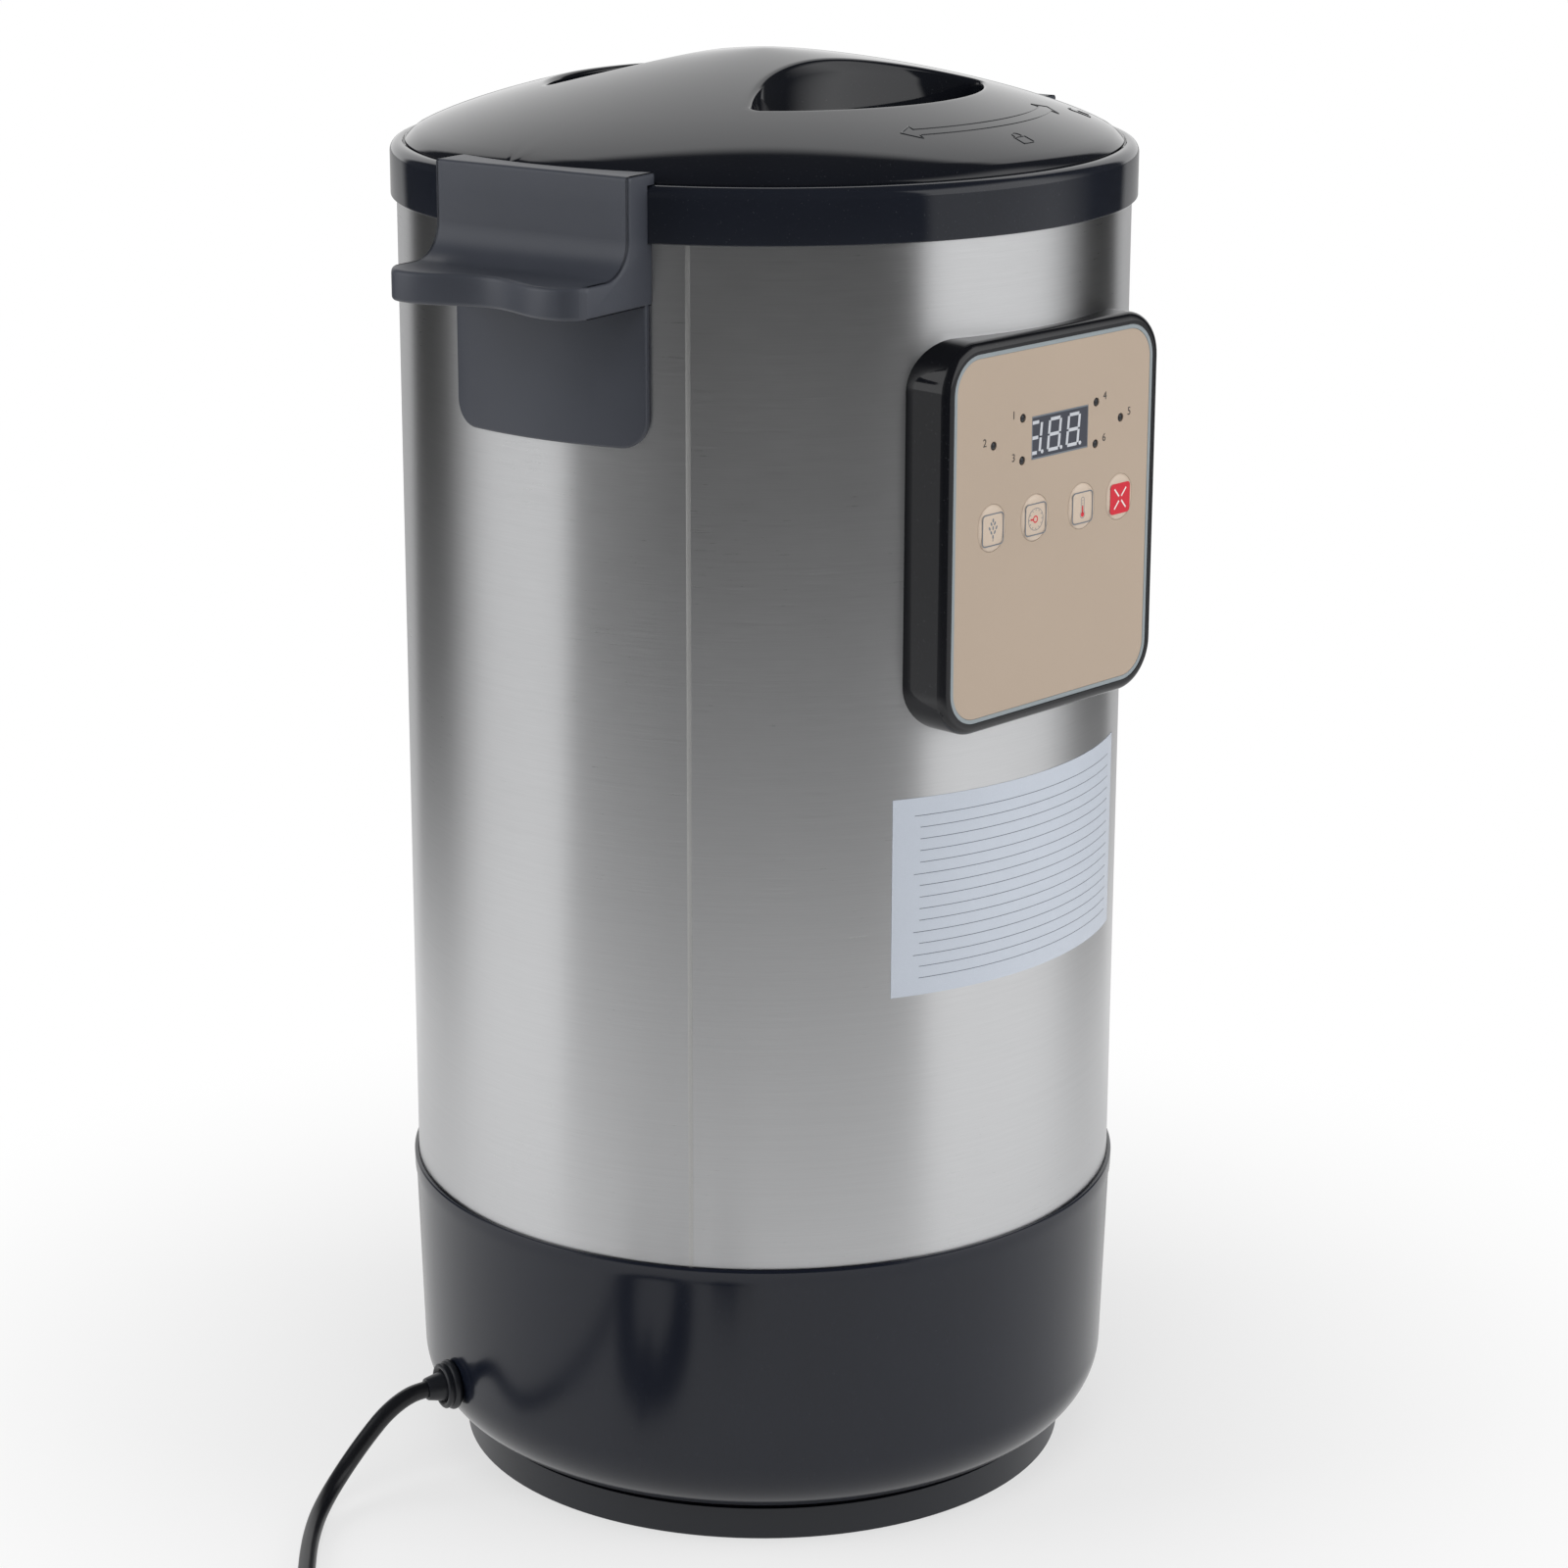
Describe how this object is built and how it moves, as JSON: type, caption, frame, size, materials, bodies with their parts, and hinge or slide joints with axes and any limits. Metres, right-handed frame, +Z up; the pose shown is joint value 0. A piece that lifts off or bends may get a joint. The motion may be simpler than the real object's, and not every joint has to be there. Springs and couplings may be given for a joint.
{
  "type": "yogurt maker",
  "caption": "Tall electric fermenting pot: brushed steel drum with a plastic base, a domed locking lid with a bridge grip, two side handles and a box of keys with a display.",
  "frame": {"origin": "middle of the underside, on the surface that it stands on", "axes": "+Z up along the drum's axis, -Y towards the control box, +X to its right seen from above with the box at the bottom"},
  "size_m": [0.4955, 0.3388, 0.56],
  "materials": {
    "base_plastic": "satin moulded plastic",
    "foot_plastic": "satin moulded plastic",
    "brushed_steel": "vertical brushed",
    "gloss_black": "high gloss",
    "handle_plastic": "fine textured satin",
    "face_film": "satin printed film",
    "border_silver": "satin silver print",
    "window": "smoked window",
    "label_film": "satin film",
    "cord_rubber": "satin",
    "seal_rubber": "soft silicone",
    "felt": "felt",
    "zinc_steel": "zinc plated",
    "pin_brass": "bright",
    "aluminium": "cast",
    "board_green": "solder mask",
    "part_plastic": "moulded"
  },
  "bodies": {
    "drum": {"base_cup": "base_plastic", "bottom_cover": "foot_plastic", "foot_pads": "cord_rubber", "bottom_screws": "zinc_steel", "shell": "brushed_steel", "shell_screws": "zinc_steel", "heat_shield": "brushed_steel", "felt_jacket": "felt", "tank": "brushed_steel", "tank_gasket": "seal_rubber", "collar": "gloss_black", "handle_left": "handle_plastic", "handle_right": "handle_plastic", "handle_screws": "zinc_steel", "info_label": "label_film", "heater_plate": "aluminium", "heater_ring": "aluminium", "heater_studs": "zinc_steel", "thermal_cutout": "pin_brass", "thermal_fuse": "part_plastic", "temperature_sensor": "aluminium", "power_board": "board_green", "transformer": "part_plastic", "relay": "part_plastic", "fuse": "part_plastic", "terminal_block": "part_plastic", "power_board_screws": "zinc_steel", "wire_harness": "cord_rubber", "mains_lead": "cord_rubber", "cord_grommet": "cord_rubber", "power_cord": "cord_rubber", "cord_coil": "cord_rubber", "cord_tie": "cord_rubber", "plug_body": "cord_rubber", "plug_pins": "pin_brass", "panel_housing": "gloss_black", "panel_gasket": "seal_rubber", "panel_screws": "zinc_steel", "faceplate": "face_film", "panel_border": "border_silver", "display_window": "window", "display_module": "window", "indicator_leds": "window", "control_board": "board_green", "control_board_screws": "zinc_steel", "tact_switches": "part_plastic", "buzzer": "part_plastic"},
    "seal_ring": {"lid_seal": "seal_rubber"},
    "lid": {"lid_dome": "gloss_black", "lid_liner": "brushed_steel", "lid_screws": "zinc_steel"},
    "mode_key": {"key_mode": "face_film"},
    "time_key": {"key_time": "face_film"},
    "temperature_key": {"key_temperature": "face_film"},
    "cancel_key": {"key_cancel": "face_film"}
  },
  "joints": [
    {"name": "lid_lift", "type": "slide", "parent": "drum", "child": "seal_ring", "axis": [0, 0, 1], "range_m": [0, 0.12]},
    {"name": "lid_turn", "type": "hinge", "parent": "seal_ring", "child": "lid", "pos_m": [0, 0, 0.53], "axis": [0, 0, 1], "range_deg": [-25, 0]},
    {"name": "mode_press", "type": "slide", "parent": "drum", "child": "mode_key", "axis": [0, 1, 0], "range_m": [0, 0.0005], "stiffness_N_per_m": 600},
    {"name": "time_press", "type": "slide", "parent": "drum", "child": "time_key", "axis": [0, 1, 0], "range_m": [0, 0.0005], "stiffness_N_per_m": 600},
    {"name": "temperature_press", "type": "slide", "parent": "drum", "child": "temperature_key", "axis": [0, 1, 0], "range_m": [0, 0.0005], "stiffness_N_per_m": 600},
    {"name": "cancel_press", "type": "slide", "parent": "drum", "child": "cancel_key", "axis": [0, 1, 0], "range_m": [0, 0.0005], "stiffness_N_per_m": 600}
  ]
}
